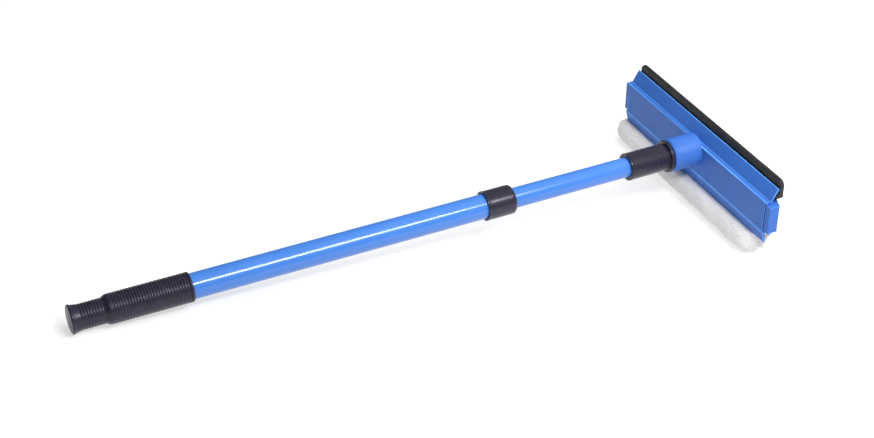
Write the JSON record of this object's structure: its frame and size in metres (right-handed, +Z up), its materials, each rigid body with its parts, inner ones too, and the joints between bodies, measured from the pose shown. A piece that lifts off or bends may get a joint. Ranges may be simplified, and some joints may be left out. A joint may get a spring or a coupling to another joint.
{
  "type": "window cleaning squeegee",
  "caption": "Telescopic hand squeegee: ribbed grip, twist-lock blue pole and a wide head with a rubber blade on its upper edge and a fabric-covered sponge below",
  "frame": {"origin": "on the ground, under the middle of the whole tool's box, as it lies on its sponge and the flange of its grip", "axes": "+X from the grip to the head, +Y to the left end of the head seen from the grip, +Z up; the pole climbs about 4.5 degrees towards the head"},
  "size_m": [0.607, 0.2426, 0.0864],
  "materials": {
    "blue_tube": "bright blue powder paint, glossy, on thin steel tube",
    "black_grip": "soft black PVC, matt, fine moulded ribs",
    "black_plastic": "black moulded plastic, satin",
    "blue_plastic": "mid blue moulded plastic, satin gloss",
    "white_plastic": "natural white moulded plastic",
    "zinc_steel": "zinc plated steel",
    "blade_rubber": "dark grey rubber, matt",
    "sponge_foam": "open-cell foam",
    "sponge_mesh": "off-white knitted mesh, slightly fuzzy"
  },
  "bodies": {
    "handle": {"outer_tube": "blue_tube", "hand_grip": "black_grip", "tube_end_plug": "black_plastic", "lock_collar": "black_plastic", "guide_bush": "white_plastic"},
    "lock_slider": {"lock_expander": "white_plastic"},
    "inner_pole": {"inner_tube": "blue_tube", "lock_stud": "black_plastic", "stop_washer": "zinc_steel", "stop_screw": "zinc_steel", "pole_tip": "black_plastic"},
    "lock_nut": {"cone_nut": "white_plastic"},
    "head": {"head_front_shell": "blue_plastic", "head_rear_shell": "blue_plastic", "shell_screws": "zinc_steel", "end_cap_left": "blue_plastic", "end_cap_right": "blue_plastic", "rubber_blade": "blade_rubber", "sponge_core": "sponge_foam", "sponge_cover": "sponge_mesh", "sponge_strip": "white_plastic"}
  },
  "joints": [
    {"name": "telescope_slide", "type": "slide", "parent": "handle", "child": "lock_slider", "axis": [0.9969, 0, 0.0787], "range_m": [-0.1136, 0.1477]},
    {"name": "twist_lock", "type": "hinge", "parent": "lock_slider", "child": "inner_pole", "pos_m": [-0.10593, -0.00265, 0.02779], "axis": [0.9969, 0, 0.0787], "range_deg": [-360, 0]},
    {"name": "cone_nut_travel", "type": "slide", "parent": "lock_slider", "child": "lock_nut", "axis": [0.9969, 0, 0.0787], "range_m": [-0.0026, 0]},
    {"name": "head_removal", "type": "slide", "parent": "inner_pole", "child": "head", "axis": [0.9969, 0, 0.0787], "range_m": [0, 0.03]}
  ],
  "couplings": [
    {"joint": "cone_nut_travel", "follows": "twist_lock", "m_per_rad": 0.00039789}
  ]
}
